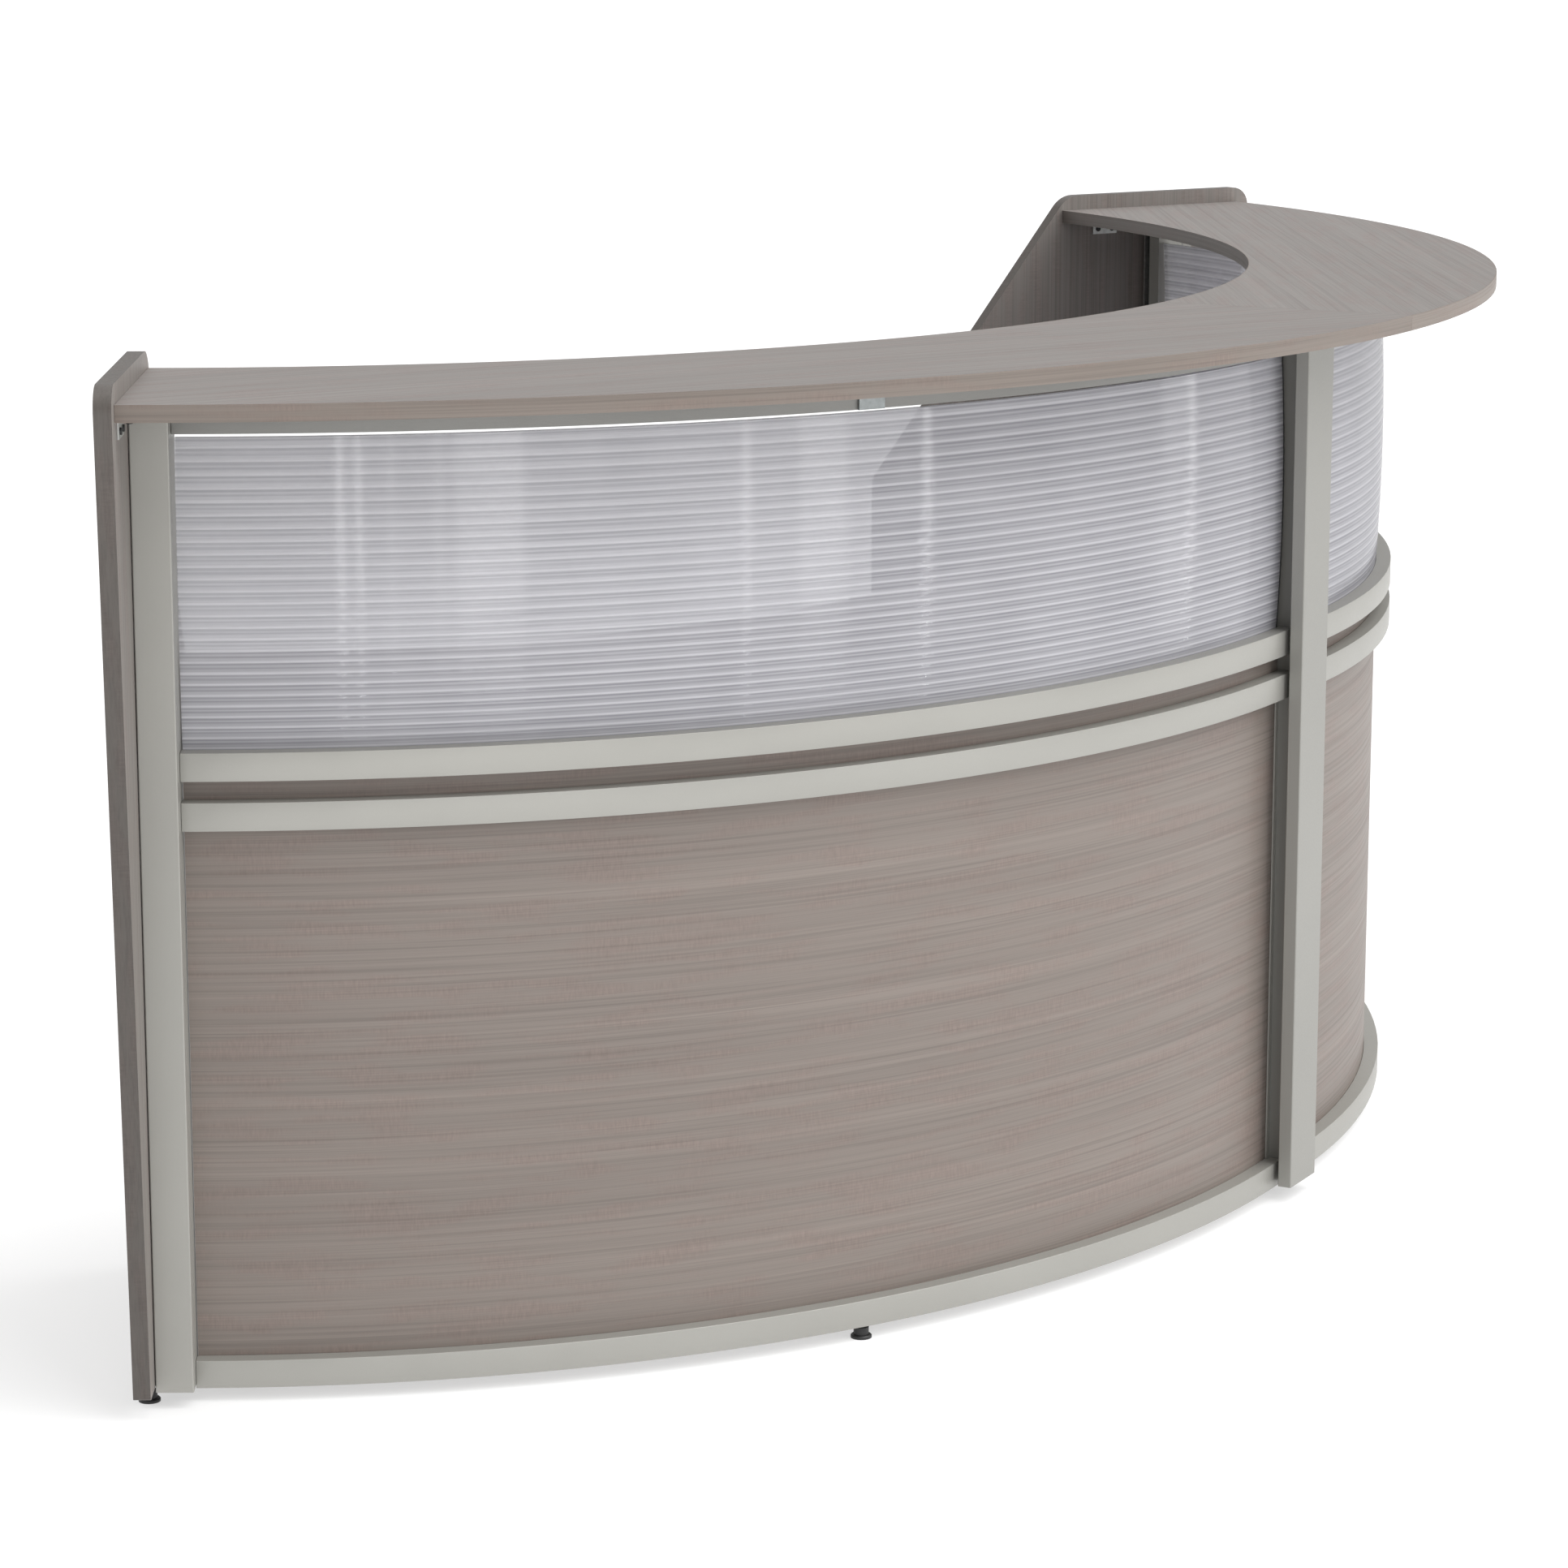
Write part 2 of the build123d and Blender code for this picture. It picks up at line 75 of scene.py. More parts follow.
# Painted light across one flute, between two webs that are fully bright as a painted highlight, with painted
# shade in the dark bands below them: place and level.
FLUTE_PAINTED_LIGHT = (
    (0.06, 0.86), (0.15, 0.10), (0.25, 0.04), (0.36, 0.52),
    (0.52, 0.02), (0.70, 0.38), (0.85, 0.38), (0.95, 0.86),
)

# Twin-wall panel: where its webs are, how far it bows out, and how far round the bay it reaches.
SKIN_OUTER, SKIN_INNER, WEB, GAP_SHADE = range(4)
FLUTE_STEPS = 6
ARC_STEPS = 110
PANEL_BOTTOM = 0.716
PANEL_TOP = 1.0913
BOW_BOTTOM = 0.7455
BOW = 0.00528
SCALLOP = 0.00032
WEB_COUNT = 28
FIRST_WEB = 1.0803
WEB_PITCH = 0.0152
PITCH_LOSS = 0.000075
# Angle where the black strip starts: painted shade of the gap between the sheet's edge and the middle post's
# channel.
GAP_SHADE_START = math.radians(-0.98)
PANEL_START = math.radians(-0.85)
PANEL_END = math.radians(60.66)

# Studio: sky that is brighter overhead and beyond the counter, floor and backdrop that glow a little.
HORIZON = 0.16
ZENITH = 1.40
SIDE_GLOW = 0.22
SIDE_TOWARDS = (0.88, 0.48, 0.0)
FLOOR_REACH = 150.0
FLOOR_TONE = 0.50
FLOOR_GLOW = 0.52
BACKDROP_RADIUS = 140.0
BACKDROP_SEGMENTS = 72
BACKDROP_HEIGHTS = (-2.0, 120.0)
BACKDROP_GLOW = 1.1

# Upright soft boxes: azimuth, plan point they face, width, radiance.
STRIP_DISTANCE = 3.6
STRIP_HEIGHT = 2.6
STRIP_LIFT = 0.02
STRIPS = (
    (-61.5, (-1.290, 0.220), 0.70, 0.5),
    (-51.6, (-1.226, 0.143), 0.045, 8.0),
    (-49.8, (-1.215, 0.125), 0.035, 8.0),
    (-46.5, (-1.200, 0.105), 0.03, 4.0),
    (-41.9, (-1.165, 0.067), 0.07, 2.0),
    (-37.0, (-1.118, 0.020), 0.50, 3.0),
    (-10.6, (-0.905, -0.172), 0.045, 7.0),
    (-2.0, (-0.830, -0.225), 0.40, 3.0),
    (10.1, (-0.702, -0.295), 0.045, 12.0),
    (46.0, (-0.290, -0.430), 0.35, 1.4),
    (49.0, (-0.265, -0.435), 0.045, 8.0),
)


def make_camera():
    """Camera at the counter's left front, slightly above it."""
    data = bpy.data.cameras.new("camera")
    data.sensor_width = 36.0
    data.lens = 107.48
    data.clip_end = 400.0
    data.dof.use_dof = False
    camera = bpy.data.objects.new("camera", data)
    camera.location = (-5.44564, -2.68490, 1.75463)
    camera.rotation_euler = (math.radians(78.27), 0.0, math.radians(-61.52))
    bpy.context.scene.collection.objects.link(camera)
    bpy.context.scene.camera = camera


class Shader:
    """Small wrapper that keeps node set-ups short."""

    def __init__(self, name):
        self.material = bpy.data.materials.new(name)
        self.material.use_nodes = True
        self.tree = self.material.node_tree
        self.surface = self.tree.nodes["Principled BSDF"]

    def add(self, kind, inputs=(), **settings):
        node = self.tree.nodes.new(kind)
        for key, value in settings.items():
            setattr(node, key, value)
        for key, value in dict(inputs).items():
            self.feed(node.inputs[key], value)
        return node

    def feed(self, socket, value):
        if isinstance(value, bpy.types.NodeSocket):
            self.tree.links.new(value, socket)
        else:
            socket.default_value = value

    def maths(self, operation, first, second=0.0):
        node = self.add("ShaderNodeMath", operation=operation)
        self.feed(node.inputs[0], first)
        self.feed(node.inputs[1], second)
        return node.outputs[0]

    def place(self):
        return self.add("ShaderNodeTexCoord").outputs["Object"]

    def split(self, vector):
        return self.add("ShaderNodeSeparateXYZ", {"Vector": vector}).outputs

    def join(self, x, y, z):
        return self.add("ShaderNodeCombineXYZ", {"X": x, "Y": y, "Z": z}).outputs[0]

    def scaled(self, vector, factors):
        node = self.add("ShaderNodeVectorMath", operation="MULTIPLY")
        self.feed(node.inputs[0], vector)
        self.feed(node.inputs[1], factors)
        return node.outputs[0]

    def noise(self, vector, detail=3.0, roughness=0.5, scale=1.0):
        inputs = {"Vector": vector, "Scale": scale, "Detail": detail, "Roughness": roughness}
        return self.add("ShaderNodeTexNoise", inputs).outputs["Fac"]

    def ramp(self, value, low, high, to_low=0.0, to_high=1.0):
        inputs = {"Value": value, "From Min": low, "From Max": high, "To Min": to_low, "To Max": to_high}
        return self.add("ShaderNodeMapRange", inputs).outputs["Result"]

    def mix(self, factor, first, second, blend="MIX"):
        node = self.add("ShaderNodeMix", data_type="RGBA", blend_type=blend)
        self.feed(node.inputs[0], factor)
        self.feed(node.inputs[6], first)
        self.feed(node.inputs[7], second)
        return node.outputs[2]

    def bump(self, height, distance, strength=1.0):
        inputs = {"Height": height, "Distance": distance, "Strength": strength}
        return self.add("ShaderNodeBump", inputs).outputs["Normal"]

    def finish(self, **inputs):
        for key, value in inputs.items():
            self.feed(self.surface.inputs[key.replace("_", " ")], value)
        return self.material


# Grain coordinates in metres: X runs along the grain, Y and Z across it.
def grain_round(shader, centre, radius):
    """Grain that runs level round an upright axis."""
    x, y, z = shader.split(shader.place())
    across = shader.maths("SUBTRACT", x, centre[0])
    out = shader.maths("SUBTRACT", centre[1], y)
    angle = shader.maths("ARCTAN2", across, out)
    return shader.join(shader.maths("MULTIPLY", angle, radius), z, 0.0)


def turned(shader, heading):
    """Plan coordinates along and across a heading, and height."""
    x, y, z = shader.split(shader.place())
    cosine, sine = math.cos(heading), math.sin(heading)
    along = shader.maths("ADD", shader.maths("MULTIPLY", x, cosine), shader.maths("MULTIPLY", y, sine))
    across = shader.maths("SUBTRACT", shader.maths("MULTIPLY", y, cosine), shader.maths("MULTIPLY", x, sine))
    return along, across, z


def grain_level(shader, heading):
    """Level grain that runs straight along a heading."""
    along, across, z = turned(shader, heading)
    return shader.join(along, across, z)


def grain_upright(shader, heading):
    """Upright grain on a board that stands along a heading."""
    along, across, z = turned(shader, heading)
    return shader.join(z, along, across)


def shifted(shader, vector, amount):
    """Coordinates moved by a fixed amount, so that each board shows another part of the grain."""
    node = shader.add("ShaderNodeVectorMath", operation="ADD")
    shader.feed(node.inputs[0], vector)
    shader.feed(node.inputs[1], amount)
    return node.outputs[0]


def laminate(name, grain_of, seed, tone, contrast=1.0, roughness=0.46):
    """Ash-grey printed wood grain: bands, thin dark lines, pale streaks, rosy patches with cross ticks."""
    shader = Shader(name)
    grain = shifted(shader, grain_of(shader), (seed * 3.7, seed * 1.9, seed * 0.8))
    bands = shader.noise(shader.scaled(grain, (0.4, 17.0, 17.0)), 3.0, 0.5)
    lines = shader.noise(shader.scaled(grain, (1.5, 290.0, 290.0)), 3.0, 0.65)
    hairlines = shader.noise(shader.scaled(grain, (2.5, 760.0, 760.0)), 2.0, 0.6)
    pale = shader.noise(shader.scaled(grain, (0.6, 95.0, 95.0)), 2.0, 0.5)
    hue = shader.noise(shader.scaled(grain, (9.0, 52.0, 52.0)), 3.0, 0.6)
    ticks = shader.noise(shader.scaled(grain, (420.0, 70.0, 70.0)), 2.0, 0.6)
    value = shader.ramp(bands, 0.32, 0.68, 1.0 - 0.05 * contrast, 1.0 + 0.05 * contrast)
    value = shader.maths("MULTIPLY", value, shader.ramp(lines, 0.34, 0.52, 1.0 - 0.16 * contrast, 1.02))
    value = shader.maths("MULTIPLY", value, shader.ramp(hairlines, 0.3, 0.7, 0.94, 1.06))
    value = shader.maths("MULTIPLY", value, shader.ramp(pale, 0.56, 0.68, 1.0, 1.0 + 0.09 * contrast))
    patches = shader.ramp(hue, 0.46, 0.62)
    tick_value = shader.ramp(ticks, 0.3, 0.7, 0.90, 1.05)
    value = shader.maths("MULTIPLY", value, shader.mix(patches, (1.0, 1.0, 1.0, 1.0), tick_value))
    rosy = shader.mix(patches, GROUND_TINT, FLECK_TINT)
    base = shader.mix(1.0, (*tone, 1.0), rosy, "MULTIPLY")
    base = shader.mix(1.0, base, shader.join(value, value, value), "MULTIPLY")
    relief = shader.maths("ADD", shader.maths("MULTIPLY", lines, 0.6), shader.maths("MULTIPLY", hairlines, 0.4))
    return shader.finish(
        Base_Color=base,
        Roughness=shader.ramp(lines, 0.3, 0.7, roughness + 0.05, roughness - 0.03),
        Specular_IOR_Level=0.42,
        Normal=shader.bump(relief, 0.00012, 0.5),
    )


def painted_metal(name, colour):
    """Satin paint with a fine metallic fleck and orange peel."""
    shader = Shader(name)
    place = shader.place()
    cloud = shader.noise(place, 3.0, 0.5, 3.5)
    fleck = shader.noise(place, 2.0, 0.6, 2600.0)
    orange_peel = shader.noise(place, 2.0, 0.5, 420.0)
    darker, lighter, glint = ((*(factor * c for c in colour), 1.0) for factor in (0.97, 1.03, 1.18))
    base = shader.mix(shader.ramp(cloud, 0.35, 0.65), darker, lighter)
    base = shader.mix(shader.ramp(fleck, 0.35, 0.65, 0.0, 0.22), base, glint)
    return shader.finish(
        Base_Color=base,
        Metallic=0.35,
        Roughness=shader.ramp(orange_peel, 0.3, 0.7, 0.40, 0.47),
        Normal=shader.bump(orange_peel, 0.00006, 0.5),
    )


def zinc_steel(name, dull, bright):
    """Plated steel with a faint spangle and fine scratches."""
    shader = Shader(name)
    place = shader.place()
    spangle = shader.noise(place, 4.0, 0.6, 160.0)
    scratches = shader.noise(shader.scaled(place, (60.0, 60.0, 1500.0)), 3.0)
    base = shader.mix(shader.ramp(spangle, 0.3, 0.7), (*dull, 1.0), (*bright, 1.0))
    return shader.finish(
        Base_Color=base,
        Metallic=0.9,
        Roughness=shader.ramp(scratches, 0.3, 0.7, 0.28, 0.42),
        Normal=shader.bump(scratches, 0.00004, 0.4),
    )


def black_plastic_and_gap_shade(name):
    """Black plastic with a fine grit; the same black also makes the strip that is painted shade in the gap
    beside the middle post.
    """
    shader = Shader(name)
    grit = shader.noise(shader.place(), 3.0, 0.6, 1500.0)
    base = shader.mix(shader.ramp(grit, 0.3, 0.7), (*PLASTIC_DARK, 1.0), (*PLASTIC_LIGHT, 1.0))
    return shader.finish(
        Base_Color=base,
        Roughness=shader.ramp(grit, 0.3, 0.7, 0.42, 0.56),
        Normal=shader.bump(grit, 0.00008, 0.5),
    )


def polycarbonate(name, cover, tint=1.0, glow=0.42):
    """Glossy translucent sheet whose flutes show as level bands of painted light, a painted highlight at each
    web and painted shade below it; cover is its share that isn't see-through.
    """
    shader = Shader(name)
    u, v, _ = shader.split(shader.add("ShaderNodeUVMap", uv_map="flutes").outputs["UV"])
    # Painted highlight at each web and painted shade in the bands below it, round every flute.
    band = shader.add("ShaderNodeValToRGB", {"Fac": shader.maths("FRACT", v)})
    stops = band.color_ramp.elements
    for end_stop in (stops[0], stops[1]):
        end_stop.color = (1.0, 1.0, 1.0, 1.0)
    for position, level in FLUTE_PAINTED_LIGHT:
        stop = stops.new(position)
        stop.color = (level, level, level, 1.0)
    along_sheet = shader.join(shader.maths("MULTIPLY", u, 2.2), shader.maths("MULTIPLY", v, 9.0), 0.0)
    streak = shader.noise(along_sheet, 4.0, 0.62)
    up_sheet = shader.join(shader.maths("MULTIPLY", u, 7.0), shader.maths("MULTIPLY", v, 0.05), 4.0)
    haze = shader.noise(up_sheet, 3.0)
    level = shader.maths("MULTIPLY", band.outputs["Color"], 1.05)
    level = shader.maths("ADD", level, shader.ramp(streak, 0.28, 0.72, -0.22, 0.26))
    level = shader.maths("ADD", level, shader.ramp(haze, 0.3, 0.7, -0.05, 0.09))
    dark, light = ((*(tint * c for c in colour), 1.0) for colour in (SHEET_DARK, SHEET_LIGHT))
    base = shader.mix(level, dark, light)
    shader.finish(
        Base_Color=base,
        Roughness=0.06,
        Specular_IOR_Level=0.55,
        Normal=shader.bump(streak, 0.00006, 0.4),
    )
    through = shader.add("ShaderNodeBsdfTranslucent", {"Color": base})
    clear = shader.add("ShaderNodeBsdfTransparent", {"Color": (1.0, 1.0, 1.0, 1.0)})
    body = shader.add("ShaderNodeMixShader", {"Fac": glow})
    shader.feed(body.inputs[1], shader.surface.outputs[0])
    shader.feed(body.inputs[2], through.outputs[0])
    whole = shader.add("ShaderNodeMixShader", {"Fac": cover})
    shader.feed(whole.inputs[1], clear.outputs[0])
    shader.feed(whole.inputs[2], body.outputs[0])
    shader.feed(shader.tree.nodes["Material Output"].inputs["Surface"], whole.outputs[0])
    return shader.material


def web_height(count):
    """Height of a web, counted from the top; the flutes get narrower towards the bottom."""
    return FIRST_WEB - WEB_PITCH * count + PITCH_LOSS * count * count


def bow_at(z):
    """How far the sheet bows out at a height."""
    if z <= BOW_BOTTOM:
        return 0.0
    share = (z - BOW_BOTTOM) / (PANEL_TOP - BOW_BOTTOM)
    return BOW * 4 * share * (1 - share)


def fluted_panel(side, gap_shade_material):
    """Twin-wall sheet: scalloped skins, a web between flutes, and a black strip at its middle edge that is
    painted shade of the gap beside the middle post.
    """
    sign = 1 if side == "right" else -1
    centre = BAY_CENTRES[side]
    mesh = bmesh.new()
    sheet = mesh.loops.layers.uv.new("flutes")

    def sweep(profile, slot, smooth=False, first=PANEL_START, last=PANEL_END, steps=ARC_STEPS):
        """Sweep (radius, z, flute count) points round the bay, and return the rows of vertices."""
        rows = []
        for step in range(steps + 1):
            angle = first + (last - first) * step / steps
            rows.append([
                mesh.verts.new((
                    centre[0] + sign * radius * math.sin(angle), centre[1] - radius * math.cos(angle), z
                ))
                for radius, z, _ in profile
            ])
        arc = PANEL_RADIUS * (last - first) / steps
        for step in range(steps):
            near, far = rows[step], rows[step + 1]
            for k in range(len(profile) - 1):
                corners = [near[k], far[k], far[k + 1], near[k + 1]]
                places = [
                    (arc * step, profile[k][2]),
                    (arc * (step + 1), profile[k][2]),
                    (arc * (step + 1), profile[k + 1][2]),
                    (arc * step, profile[k + 1][2]),
                ]
                if sign > 0:
                    corners.reverse()
                    places.reverse()
                face = mesh.faces.new(corners)
                face.smooth = smooth
                face.material_index = slot
                for loop, place in zip(face.loops, places):
                    loop[sheet].uv = place
        return rows

    counts = [k / FLUTE_STEPS for k in range(-4, WEB_COUNT * FLUTE_STEPS)]
    counts = [count for count in counts if PANEL_BOTTOM < web_height(count) < PANEL_TOP]
    outer = []
    inner = []
    for count in counts:
        z = web_height(count)
        swell = SCALLOP * abs(math.sin(math.pi * count))
        outer.append((PANEL_RADIUS - SCALLOP + swell + bow_at(z), z, count))
        inner.append((PANEL_RADIUS - PANEL_THICKNESS + SCALLOP - swell + bow_at(z), z, count))
    sweep(outer, SKIN_OUTER, smooth=True)
    sweep(inner[::-1], SKIN_INNER, smooth=True)
    top = outer[0][1]
    sweep([(PANEL_RADIUS, top, 0.5), (PANEL_RADIUS - PANEL_THICKNESS, top, 0.5)], WEB)
    for count in range(WEB_COUNT):
        z = web_height(count)
        if z > PANEL_BOTTOM:
            radius = PANEL_RADIUS - SCALLOP + bow_at(z)
            sweep([(radius, z, 0.1), (radius - PANEL_THICKNESS + 2 * SCALLOP, z, 0.1)], WEB)
    shade_strip_outer = [(radius + SCALLOP * 0.5, z, count) for radius, z, count in outer]
    shade_strip_inner = [(radius - PANEL_THICKNESS + SCALLOP, z, count) for radius, z, count in outer]
    shade_strip_outline = shade_strip_outer + shade_strip_inner[::-1] + shade_strip_outer[:1]
    shade_strip_rows = sweep(shade_strip_outline, GAP_SHADE, first=GAP_SHADE_START, last=PANEL_START, steps=1)
    levels = len(outer)
    for row in shade_strip_rows:
        for k in range(levels - 1):
            corners = [row[k], row[k + 1], row[2 * levels - 2 - k], row[2 * levels - 1 - k]]
            mesh.faces.new(corners).material_index = GAP_SHADE
    shade_strip_faces = [face for face in mesh.faces if face.material_index == GAP_SHADE]
    bmesh.ops.recalc_face_normals(mesh, faces=shade_strip_faces)
    data = bpy.data.meshes.new(f"{side}_fluted_panel")
    mesh.to_mesh(data)
    mesh.free()
    piece = bpy.data.objects.new(f"{side}_fluted_panel", data)
    bpy.context.scene.collection.objects.link(piece)
    data.materials.append(polycarbonate(f"{side}_sheet_outer", 0.72))
    data.materials.append(polycarbonate(f"{side}_sheet_inner", 0.68, 1.08, 0.65))
    data.materials.append(polycarbonate(f"{side}_sheet_web", 0.78, 1.05))
    data.materials.append(gap_shade_material)
    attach(piece, "frame")
    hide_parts(f"{side}_upper_panel")


def dress(node, material):
    """Give a node one material."""
    data = nodes[node].data
    data.materials.clear()
    data.materials.append(material)
    for face in data.polygons:
        face.material_index = 0


def dress_board(node, face_material, edge_material, facing):
    """Board with its own edge band: faces that don't look along facing are edges."""
    dress(node, face_material)
    data = nodes[node].data
    data.materials.append(edge_material)
    for face in data.polygons:
        if abs(face.normal.dot(facing)) < 0.5:
            face.material_index = 1


def dress_edge_band(node, outer_material, painted_shade_material):
    """Edge band whose faces on the clerk's side are darker: painted shade on the faces turned inwards, away
    from the light.
    """
    dress(node, outer_material)
    data = nodes[node].data
    data.materials.append(painted_shade_material)
    axis = Vector((0.0, PLAN_SHIFT, 0.0))
    for face in data.polygons:
        inwards = axis - face.center
        inwards.z = 0.0
        if face.normal.dot(inwards.normalized()) > 0.5:
            face.material_index = 1


def soften(node):
    """Small round on a rail's edges, as the bent tubes have."""
    piece = nodes[node]
    weld = piece.modifiers.new("weld", "WELD")
    weld.merge_threshold = 0.00001
    bevel = piece.modifiers.new("bevel", "BEVEL")
    bevel.width = 0.0006
    bevel.segments = 3
    bevel.limit_method = "ANGLE"
    bevel.angle_limit = math.radians(40)
    bevel.harden_normals = True
    bevel.use_clamp_overlap = True


def dress_everything():
    """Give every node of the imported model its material."""
    metal = painted_metal("satin_silver_paint", SILVER)
    top_rail_painted_shade_metal = painted_metal("satin_silver_top_rail_painted_shade", SILVER_TOP_RAIL_PAINTED_SHADE)
    channel_painted_shade_metal = painted_metal("satin_silver_channel_painted_shade", SILVER_CHANNEL_PAINTED_SHADE)
    steel = zinc_steel("zinc_plated_steel", ZINC_DULL, ZINC_BRIGHT)
    black = black_plastic_and_gap_shade("black_plastic")
    clip_painted_shade_steel = zinc_steel("dull_steel_clip_painted_shade", CLIP_SHADED_DULL, CLIP_SHADED_BRIGHT)
    dark_screws = zinc_steel("blackened_screws", SCREW_DULL, SCREW_BRIGHT)
    for number, side in enumerate(("right", "left")):
        sign = 1 if side == "right" else -1
        bay_heading = sign * HALF_UNIT
        centre = BAY_CENTRES[side]
        seed = 1.0 + number

        def along_bay(shader, centre=centre):
            return grain_round(shader, centre, PANEL_RADIUS)

        def along_counter(shader):
            return grain_round(shader, (0.0, PLAN_SHIFT), COUNTER_RADIUS)

        def along_top(shader, heading=bay_heading):
            return grain_level(shader, heading)

        def up_panel(shader, heading=-sign * HALF_UNIT):
            return grain_upright(shader, heading)

        top = laminate(f"{side}_top_laminate", along_top, seed, TOP_TONE, contrast=0.70, roughness=0.50)
        dress(f"{side}_counter_top", top)
        dress(f"{side}_worksurface", top)
        panel = laminate(f"{side}_panel_laminate", along_bay, seed + 0.3, LOWER_PANEL_TONE)
        dress(f"{side}_lower_panel", panel)
        end = laminate(f"{side}_end_laminate", up_panel, seed + 0.6, END_PANEL_TONE)
        end_band = laminate(
            f"{side}_end_edge", up_panel, seed + 0.7, END_EDGE_TONE, contrast=0.8, roughness=0.34
        )
        outwards = Vector((sign * math.cos(2 * HALF_UNIT), math.sin(2 * HALF_UNIT), 0.0))
        dress_board(f"{side}_end_panel", end, end_band, outwards)
        band = laminate(f"{side}_edge_laminate", along_counter, seed + 0.9, FRONT_EDGE_TONE, contrast=1.2)
        # The inward faces of the edge bands take a darker copy: painted shade.
        inner_painted_shade_band = laminate(f"{side}_inner_edge_painted_shade", along_counter, seed + 0.8, INNER_EDGE_PAINTED_SHADE_TONE, contrast=0.8)
        dress_edge_band(f"{side}_counter_edge_bands", band, inner_painted_shade_band)
        dress_edge_band(f"{side}_worksurface_edge_band", band, inner_painted_shade_band)
        for rail in ("bottom_rail", "lower_mid_rail", "upper_mid_rail", "top_rail"):
            # The headrail takes the darker copy of the silver: painted shade under the counter's overhang.
            dress(f"{side}_{rail}", top_rail_painted_shade_metal if rail == "top_rail" else metal)
            soften(f"{side}_{rail}")
        for post in ("end_post", "end_post_channel"):
            dress(f"{side}_{post}", metal)
        for fitting in (
            "end_joint_plate",
            "counter_brackets",
            "worksurface_end_bracket",
            "bottom_rail_insert",
            "panel_inserts",
            "front_glide_stem",
            "rear_glide_stem",
            "rail_glide_stem",
        ):
            dress(f"{side}_{fitting}", steel)
        # The clip is dull steel, darker still as painted shade under the counter's overhang.
        dress(f"{side}_top_rail_clip", clip_painted_shade_steel)
        for screws in ("counter_bracket_screws", "worksurface_bracket_screws"):
            dress(f"{side}_{screws}", dark_screws)
        for foot in ("front_glide_foot", "rear_glide_foot", "rail_glide_foot"):
            dress(f"{side}_{foot}", black)
    # The middle post takes a darker copy of the silver: painted shade that tones down its lit front.
    dress("middle_post", painted_metal("satin_silver_post_painted_shade", SILVER_MIDDLE_POST_PAINTED_SHADE))
    dress("lower_panel_trims", metal)
    # The channel takes a darker copy of the silver: painted shade in the recess behind the cap.
    dress("middle_post_channel", channel_painted_shade_metal)
    for fitting in ("counter_joining_plate", "middle_worksurface_bracket"):
        dress(fitting, steel)
    dress("joint_screws", dark_screws)


def pale_stage(name, points, faces, base, glow):
    """Studio surface that is lit a little from within, so that shadows stay light."""
    data = bpy.data.meshes.new(name)
    data.from_pydata(points, [], faces)
    piece = bpy.data.objects.new(name, data)
    bpy.context.scene.collection.objects.link(piece)
    shader = Shader(f"{name}_pale")
    shader.finish(
        Base_Color=(base, base, base, 1.0),
        Roughness=0.9,
        Specular_IOR_Level=0.1,
        Emission_Color=(1.0, 1.0, 1.0, 1.0),
        Emission_Strength=glow,
    )
    shader.material.cycles.emission_sampling = "NONE"
    data.materials.append(shader.material)
    return piece


def make_studio():
    """Pale floor, and a ring round it that only the camera sees."""
    reach = FLOOR_REACH
    corners = [(-reach, -reach, 0.0), (reach, -reach, 0.0), (reach, reach, 0.0), (-reach, reach, 0.0)]
    pale_stage("floor", corners, [(0, 1, 2, 3)], FLOOR_TONE, FLOOR_GLOW)
    ring = []
    for step in range(BACKDROP_SEGMENTS):
        turn = 2 * math.pi * step / BACKDROP_SEGMENTS
        x, y = BACKDROP_RADIUS * math.cos(turn), BACKDROP_RADIUS * math.sin(turn)
        ring += [(x, y, z) for z in BACKDROP_HEIGHTS]
    walls = []
    for k in range(0, len(ring), 2):
        walls.append((k, k + 1, (k + 3) % len(ring), (k + 2) % len(ring)))
    backdrop = pale_stage("backdrop", ring, walls, 0.0, BACKDROP_GLOW)
    backdrop.visible_diffuse = False
    backdrop.visible_glossy = False
    backdrop.visible_transmission = False
    backdrop.visible_shadow = False


def sun(name, azimuth, elevation, strength, softness):
    """Distant soft light; azimuth 0 comes from the front, and positive from the right."""
    data = bpy.data.lights.new(name, "SUN")
    data.energy = strength
    data.angle = math.radians(softness)
    lamp = bpy.data.objects.new(name, data)
    towards = Vector((
        math.sin(math.radians(azimuth)) * math.cos(math.radians(elevation)),
        -math.cos(math.radians(azimuth)) * math.cos(math.radians(elevation)),
        math.sin(math.radians(elevation)),
    ))
    lamp.rotation_euler = towards.to_track_quat("Z", "Y").to_euler()
    bpy.context.scene.collection.objects.link(lamp)


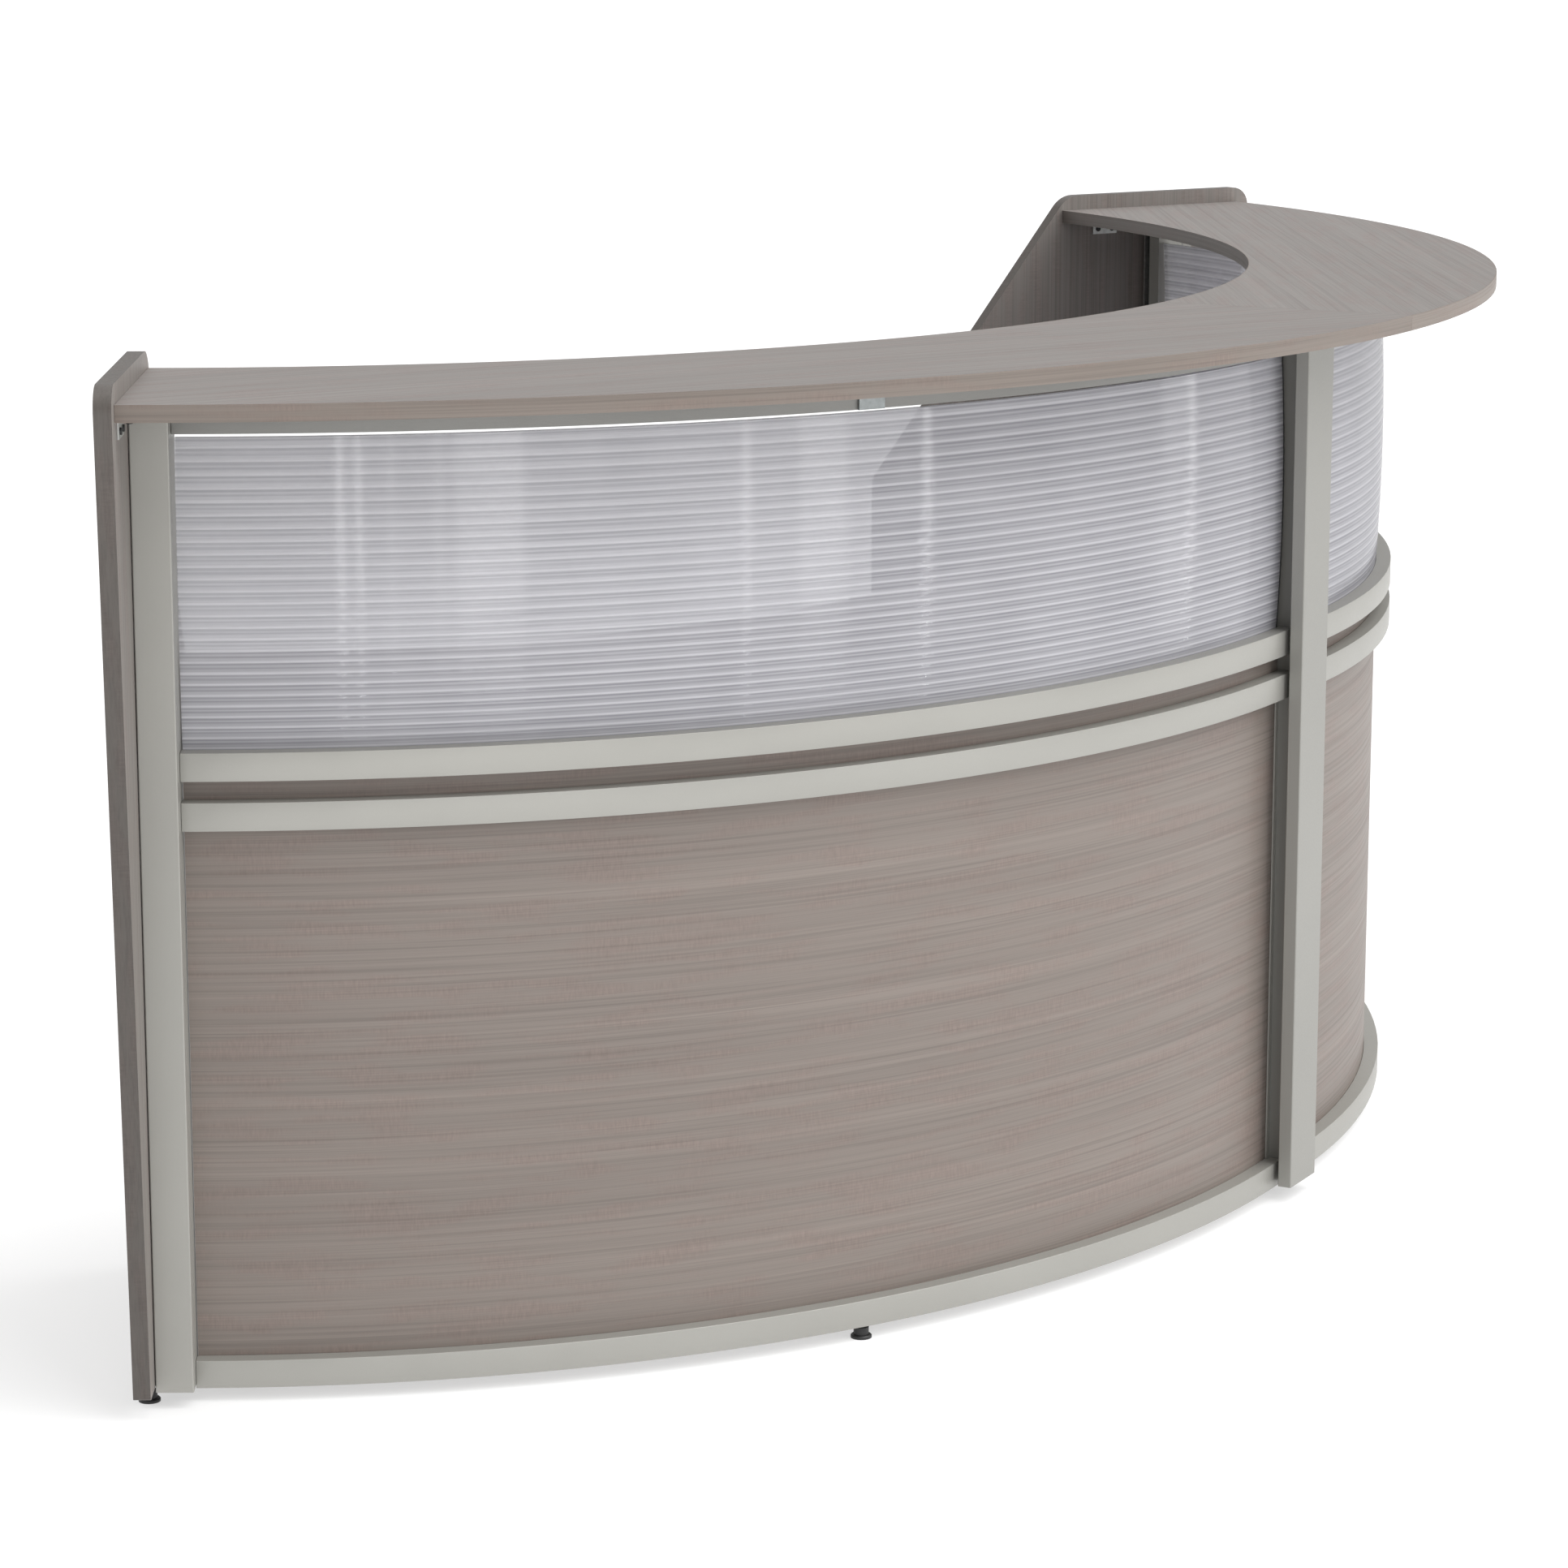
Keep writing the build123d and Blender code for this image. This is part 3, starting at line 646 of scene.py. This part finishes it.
def strip(name, azimuth, start, width, radiance):
    """Tall soft box, unseen by the camera, that the polycarbonate mirrors as an upright streak."""
    data = bpy.data.lights.new(name, "AREA")
    data.shape = "RECTANGLE"
    data.size = width
    data.size_y = STRIP_HEIGHT
    data.energy = radiance * math.pi * width * STRIP_HEIGHT
    lamp = bpy.data.objects.new(name, data)
    turn = math.radians(azimuth)
    towards = Vector((math.sin(turn), -math.cos(turn), 0.0))
    x = start[0] + STRIP_DISTANCE * towards.x
    y = start[1] + STRIP_DISTANCE * towards.y
    lamp.location = (x, y, STRIP_HEIGHT / 2 + STRIP_LIFT)
    lamp.rotation_euler = towards.to_track_quat("Z", "Y").to_euler()
    lamp.visible_camera = False
    bpy.context.scene.collection.objects.link(lamp)


def make_light():
    """Sky, key light and soft boxes."""
    world = bpy.data.worlds.new("studio")
    world.use_nodes = True
    tree = world.node_tree
    background = tree.nodes["Background"]
    background.inputs["Color"].default_value = (1.0, 1.0, 1.0, 1.0)
    place = tree.nodes.new("ShaderNodeTexCoord")
    split = tree.nodes.new("ShaderNodeSeparateXYZ")
    tree.links.new(place.outputs["Generated"], split.inputs[0])
    square = tree.nodes.new("ShaderNodeMath")
    square.operation = "MULTIPLY"
    tree.links.new(split.outputs["Z"], square.inputs[0])
    tree.links.new(split.outputs["Z"], square.inputs[1])
    rise = tree.nodes.new("ShaderNodeMapRange")
    rise.inputs["To Min"].default_value = HORIZON
    rise.inputs["To Max"].default_value = ZENITH
    tree.links.new(square.outputs[0], rise.inputs["Value"])
    towards = tree.nodes.new("ShaderNodeVectorMath")
    towards.operation = "DOT_PRODUCT"
    towards.inputs[1].default_value = SIDE_TOWARDS
    tree.links.new(place.outputs["Generated"], towards.inputs[0])
    side = tree.nodes.new("ShaderNodeMapRange")
    side.inputs["From Min"].default_value = 0.55
    side.inputs["From Max"].default_value = 0.92
    side.inputs["To Max"].default_value = SIDE_GLOW
    tree.links.new(towards.outputs["Value"], side.inputs["Value"])
    both = tree.nodes.new("ShaderNodeMath")
    tree.links.new(rise.outputs["Result"], both.inputs[0])
    tree.links.new(side.outputs["Result"], both.inputs[1])
    tree.links.new(both.outputs[0], background.inputs["Strength"])
    bpy.context.scene.world = world
    sun("key", azimuth=14.0, elevation=52.0, strength=2.25, softness=60.0)
    for number, settings in enumerate(STRIPS):
        strip(f"strip_{number}", *settings)
    bpy.context.scene.view_settings.view_transform = "Standard"


make_camera()
dress_everything()
# Black strip at each sheet's middle edge: painted shade of the gap beside the middle post.
gap_shade_strip = black_plastic_and_gap_shade("black_gap_painted_shade")
fluted_panel("right", gap_shade_strip)
fluted_panel("left", gap_shade_strip)
make_studio()
make_light()
